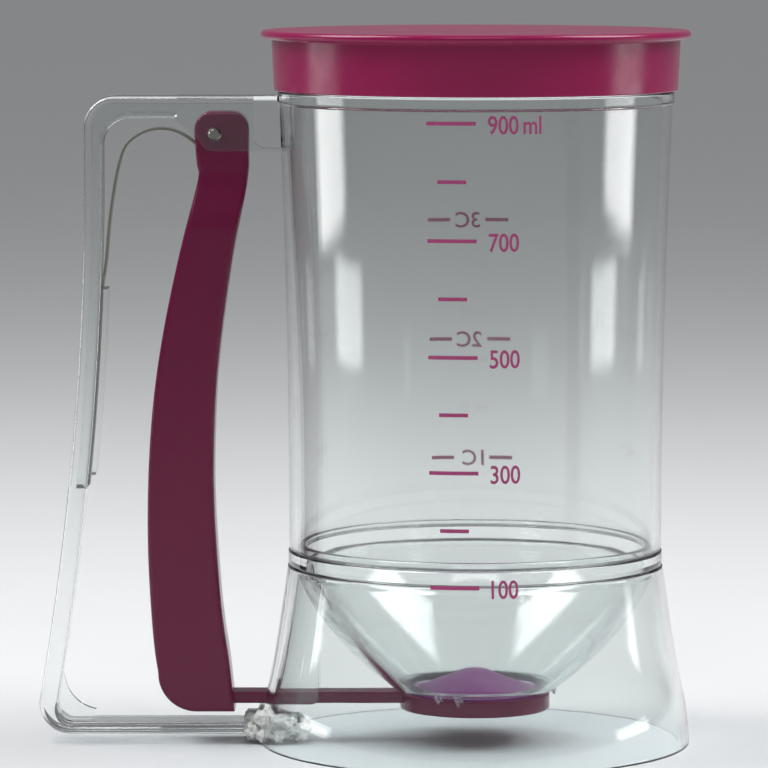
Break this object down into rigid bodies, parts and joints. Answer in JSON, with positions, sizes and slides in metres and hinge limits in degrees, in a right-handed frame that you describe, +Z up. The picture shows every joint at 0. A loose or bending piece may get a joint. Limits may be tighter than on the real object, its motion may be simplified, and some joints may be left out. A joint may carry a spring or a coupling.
{
  "type": "batter dispenser",
  "caption": "Clear measuring cup on a flared skirt, with a funnel outlet closed from below by a sprung squeeze lever in a squared handle frame, and a push-on lid.",
  "frame": {"origin": "on the surface that the skirt stands on, under the middle of the overall width and depth, handle included", "axes": "+Z up along the cup's axis, -X towards the handle, +Y square to the handle's plane; the cup's axis is at x = +28.6 mm"},
  "size_m": [0.1687, 0.1116, 0.1844],
  "materials": {
    "clear_plastic": "clear, polished, injection moulded",
    "magenta_plastic": "satin, moulded through in dark magenta",
    "violet_silicone": "soft matte",
    "spring_steel": "rolled strip and drawn wire"
  },
  "bodies": {
    "body": {"cup": "clear_plastic", "funnel": "clear_plastic", "skirt": "clear_plastic", "handle_frame": "clear_plastic", "leaf_spring": "spring_steel", "pivot_pin": "spring_steel"},
    "trigger": {"squeeze_lever": "magenta_plastic", "valve_arm": "magenta_plastic", "valve_seal": "violet_silicone"},
    "lid": {"lid": "magenta_plastic"}
  },
  "joints": [
    {"name": "lever_squeeze", "type": "hinge", "parent": "body", "child": "trigger", "pos_m": [-0.0385, 0, 0.1578], "axis": [0, 1, 0], "range_deg": [0, 5.2], "stiffness_Nm_per_rad": 1.5, "springref_deg": -5.73, "deforming": ["leaf_spring"]},
    {"name": "lid_lift", "type": "slide", "parent": "body", "child": "lid", "axis": [0, 0, 1], "range_m": [0, 0.06]}
  ]
}
